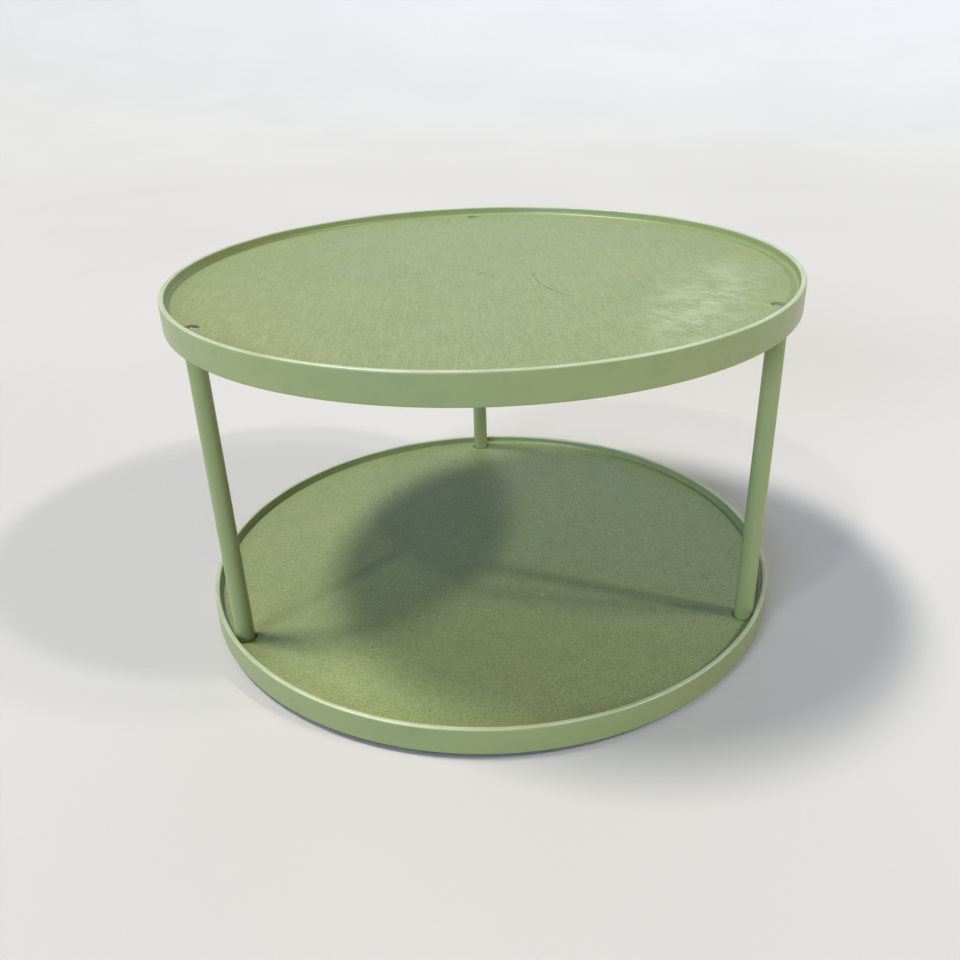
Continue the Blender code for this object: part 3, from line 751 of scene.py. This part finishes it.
def pan_screw(name, centre, head_radius, head_height, shank_radius, length, upside_down):
    """A pan-head screw with a cross recess and a thread. The head is a dome, its height falling
    with the square of the radius; the recess is the deeper of two crossed grooves whose floors
    slope to the middle; the thread is a ridge that climbs one pitch for each turn, grows over
    the first twelfth of the shank (1 / THREAD_START) and tapers over the last fifth."""
    turns = 2 * np.pi * np.arange(HEAD_STEPS) / HEAD_STEPS
    round_about = np.ones(HEAD_STEPS)
    share = np.linspace(0.0, 1.0, HEAD_TOP_RINGS + 1)[:, None]
    top_radii = HEAD_TOP_SHARE * head_radius * share * round_about
    dome = head_height * (1.0 - DOME_FALL * share ** 2) * round_about
    arm = CROSS_SHARE * head_radius
    across = top_radii * np.cos(turns)
    along = top_radii * np.sin(turns)

    def groove(u, v):
        inside = np.clip((CROSS_HALF_WIDTH - np.abs(v)) / CROSS_SOFTNESS + 0.5, 0.0, 1.0)
        slope = np.clip((arm - np.abs(u)) / (CROSS_RAMP * arm), 0.0, 1.0)
        return inside * slope * CROSS_DEPTH

    top = dome - np.maximum(groove(across, along), groove(along, across))
    top[0] = top[0, 0]
    side_radii = (head_radius - HEAD_SIDE_INSET)[:, None] * round_about
    side = np.linspace(HEAD_SIDE_SHARE, 0.0, len(HEAD_SIDE_INSET))[:, None] * head_height
    along_shank = np.linspace(0.0, 1.0, THREAD_POINTS * int(length / THREAD_PITCH))[:, None]
    depth = -length * along_shank
    turn_share = turns / (2 * np.pi)
    ridge = np.abs(((depth / THREAD_PITCH + turn_share) % 1.0) * 2 - 1) ** THREAD_SHARPNESS
    fade = np.clip(along_shank * THREAD_START, 0, 1)
    tip = (1 - along_shank) * THREAD_TIP
    core = (shank_radius - THREAD_DEPTH) * np.clip(tip, TIP_SHARE, 1)
    thread = core + THREAD_DEPTH * ridge * fade * np.clip(tip, 0, 1)
    radii = np.vstack((top_radii, side_radii, thread, 0.0 * round_about))
    heights = np.vstack((top, side * round_about, depth * round_about, -length * round_about))
    return skin(name, radii, heights, HEAD_STEPS, centre, upside_down=upside_down)


def add_screw(name, node, upside_down, head_height=POST_HEAD_HEIGHT,
              shank_radius=POST_SHANK_RADIUS):
    """Put a screw where its CAD node is; the head's height tells the seat from the ends."""
    low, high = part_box(node)
    seat = low.z + head_height if upside_down else high.z - head_height
    head_radius = (high.x - low.x) / 2
    centre = ((low.x + high.x) / 2, (low.y + high.y) / 2, seat)
    length = high.z - low.z - head_height
    mesh = pan_screw(name, centre, head_radius, head_height, shank_radius, length, upside_down)
    fit(loose(name, mesh), zinc, "screw_steel", "turntable", node)


for side in POSTS:
    add_screw(f"screw_under_{side}_post", f"foot_screw_{side}", True)
add_screw("screw_in_pivot", "pivot_screw", True, PIVOT_HEAD_HEIGHT, PIVOT_SHANK_RADIUS)

washer_outline = rounded([(washer_high.x, washer_high.z), (washer_high.x, washer_low.z),
                          (PIVOT_PILOT, washer_low.z), (PIVOT_PILOT, washer_high.z)],
                         WASHER_EDGE)
washer = loose("washer_on_pivot", turned("washer_on_pivot", washer_outline, HEAD_STEPS,
                                         closed=True))
fit(washer, zinc, "screw_steel", "turntable", "pivot_washer")

# ---- Posts --------------------------------------------------------------------------------
# Three slim posts in the same green, moulded with a slight taper so that they leave the tool,
# and polished smoother than the floors. Each stands in a socket with a thin gap around it.

POST_STEPS = 96
POST_HEAD_RADIUS = 0.00375
POST_END_ROUND = 0.0006
POST_PILOT_DEPTH = 0.0100

post_green = Finish("post_green", {"IOR": 1.5})
post_spot = post_green.moved(stretch=(1.0, 1.0, 9.0))
post_cloud = post_green.noise(0.02, 3.0).steps(0.3, 0.7)
post_drag = post_green.noise(0.0016, 4.0, 0.6, post_spot)
post_colour = post_green.mix(post_cloud, GREEN, GREEN_WARM)
post_colour = post_green.mix(post_drag.steps(0.55, 0.85) * 0.18, post_colour, GREEN_PALE)
post_green.set(base_color=post_colour, roughness=post_drag * 0.14 + 0.24,
               normal=post_green.bump(post_drag, 0.00002,
                                      post_green.bump(post_green.noise(0.004, 2.0), 0.00003)))
for side in POSTS:
    x, y, foot_radius = post_place(side)
    low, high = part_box(f"post_{side}")
    profile = [[(0.0, high.z - POST_PILOT_DEPTH), (SCREW_HOLE, high.z - POST_PILOT_DEPTH),
                (SCREW_HOLE, high.z)],
               arc((POST_HEAD_RADIUS - POST_END_ROUND, high.z - POST_END_ROUND), POST_END_ROUND,
                   90, 0, 6),
               arc((foot_radius - POST_END_ROUND, low.z + POST_END_ROUND), POST_END_ROUND,
                   0, -90, 6),
               [(SCREW_HOLE, low.z), (SCREW_HOLE, low.z + POST_PILOT_DEPTH),
                (0.0, low.z + POST_PILOT_DEPTH)]]
    post = loose(f"upright_{side}", turned(f"upright_{side}", profile, POST_STEPS, (x, y, 0.0)))
    fit(post, post_green, "post_plastic", "turntable", f"post_{side}")

# ---- Upper tray ---------------------------------------------------------------------------
# The same green plastic moulding with a plain underside. A screw head sits in a recess above
# each post, and the round mark of the mould's gate is in the middle of the floor.

GATE_RADIUS = 0.0030
GATE_DEPTH = 0.00010
GATE_VESTIGE = 0.0007
GATE_MARGIN = 0.0002
# The place of the painted sheen on the upper floor, with scuff strokes in it.
SHEEN_AND_SCUFF_BAND = dict(shift=(0.085, -0.052, 0.0), turn=math.radians(65),
                   stretch=(0.092, 0.028, 1.0))
STROKES = dict(turn=math.radians(-52), stretch=(1.0, 0.16, 1.0))
SCRATCH_CENTRE = (0.0807, -0.0066)
SCRATCH_RADIUS = 0.0582
SCRATCH_HALF_WIDTH_SQUARED = 0.00000020
SCRATCH_CORE_SQUARED = 0.00000004
SCRATCH_FRONT_END = (-0.047, -0.040)
SCRATCH_BACK_END = (0.000, -0.008)
SCRATCH_SIDE = (0.075, 0.070)

upper_low, upper_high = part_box("upper_tray")
upper_floor = mount_heights["upper_tray_floor"]
upper_underside = upper_floor - FLOOR_THICKNESS
gate_mark = [(0.0, upper_floor - GATE_DEPTH / 2), (GATE_VESTIGE, upper_floor - GATE_DEPTH / 2),
             (1.3 * GATE_VESTIGE, upper_floor - GATE_DEPTH),
             (GATE_RADIUS - GATE_DEPTH, upper_floor - GATE_DEPTH), (GATE_RADIUS, upper_floor),
             (GATE_RADIUS + GATE_MARGIN, upper_floor)]
upper_profile = tray_profile(upper_low.z, upper_floor, gate_mark, [(0.0, upper_underside)])
upper_tray = loose("upper_tier", turned("upper_tier", upper_profile, TRAY_STEPS))
head_boss = upper_low.z + SOCKET_SETBACK
screw_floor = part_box("top_screw_back")[1].z - POST_HEAD_HEIGHT - SEAT_GAP
for side in POSTS:
    x, y, post_radius = post_place(side)
    socket = POST_HEAD_RADIUS + SOCKET_PLAY
    add_boss(upper_tray, x, y, post_radius + SOCKET_PLAY + SOCKET_WALL, head_boss, upper_underside)
    hole = [[(0.0, upper_floor + CUT_ABOVE), (SCREW_RECESS + MOUTH, upper_floor + CUT_ABOVE)],
            arc((SCREW_RECESS + MOUTH, upper_floor - MOUTH), MOUTH, 90, 180, 4),
            [(SCREW_RECESS, screw_floor), (SCREW_HOLE, screw_floor),
             (SCREW_HOLE, screw_floor - SOCKET_WEB), (socket, screw_floor - SOCKET_WEB),
             (socket, head_boss + MOUTH), (socket + MOUTH, head_boss),
             (socket + MOUTH, head_boss - CUT_PAST), (0.0, head_boss - CUT_PAST)]]
    join(upper_tray, turned("recess", hole, BOSS_STEPS, (x, y, 0.0)), "DIFFERENCE")


def upper_marks(finish, x, y, on_floor):
    """A band along the right of the floor painted paler as a soft sheen, with short slanting scuff
    strokes and painted glints in it, one long curved scratch near the middle, and the gate mark
    tinted darker."""
    strokes = finish.noise(0.010, 4.0, 0.7, finish.moved(**STROKES)).steps(0.55, 0.63)
    band_x, band_y = finish.axes(finish.moved(**SHEEN_AND_SCUFF_BAND))[:2]
    band = from_axis(band_x, band_y).steps(1.0, 0.25)
    # Painted sheen: soft pale patches and an even paleness over the band, under the scuff strokes,
    # with painted glints in it.
    sheen_patches = finish.noise(0.011, 4.0, 0.65).steps(0.42, 0.62)
    wear_and_highlight = band * (sheen_patches * 0.30 + strokes * 0.38 + 0.04)
    painted_glints = finish.specks(0.0036, 0.0009, 0.5) * band
    loose_strokes = strokes * finish.noise(0.03, 3.0).steps(0.52, 0.70) * 0.16
    off_line = from_axis(x - SCRATCH_CENTRE[0], y - SCRATCH_CENTRE[1]) - SCRATCH_RADIUS
    thin = (off_line * off_line).steps(SCRATCH_HALF_WIDTH_SQUARED, SCRATCH_CORE_SQUARED)
    ends = y.steps(*SCRATCH_FRONT_END) * y.steps(*SCRATCH_BACK_END) * x.steps(*SCRATCH_SIDE)
    scratch = thin * ends * finish.noise(0.003, 2.0).steps(0.3, 0.55)
    light = (wear_and_highlight + painted_glints + loose_strokes) * on_floor
    gate = spot_at(x, y, (0.0, 0.0), 2 * GATE_RADIUS) * 0.30
    return light, (scratch * 0.8 + gate) * on_floor, scratch * -1.0


upper_green = tray_green("upper_tray_green", upper_floor, upper_high.z, upper_marks, 0.50, 0.12)
fit(upper_tray, upper_green, "tray_plastic", "turntable", "upper_tray")

# ---- Top screws ---------------------------------------------------------------------------
# Three more of the zinc-plated pan-head screws, heads up, hold the upper tray on the posts. Each
# runs through the web in its boss into the top of a post, and its head sits in the recess.

for side in POSTS:
    add_screw(f"screw_over_{side}_post", f"top_screw_{side}", False)
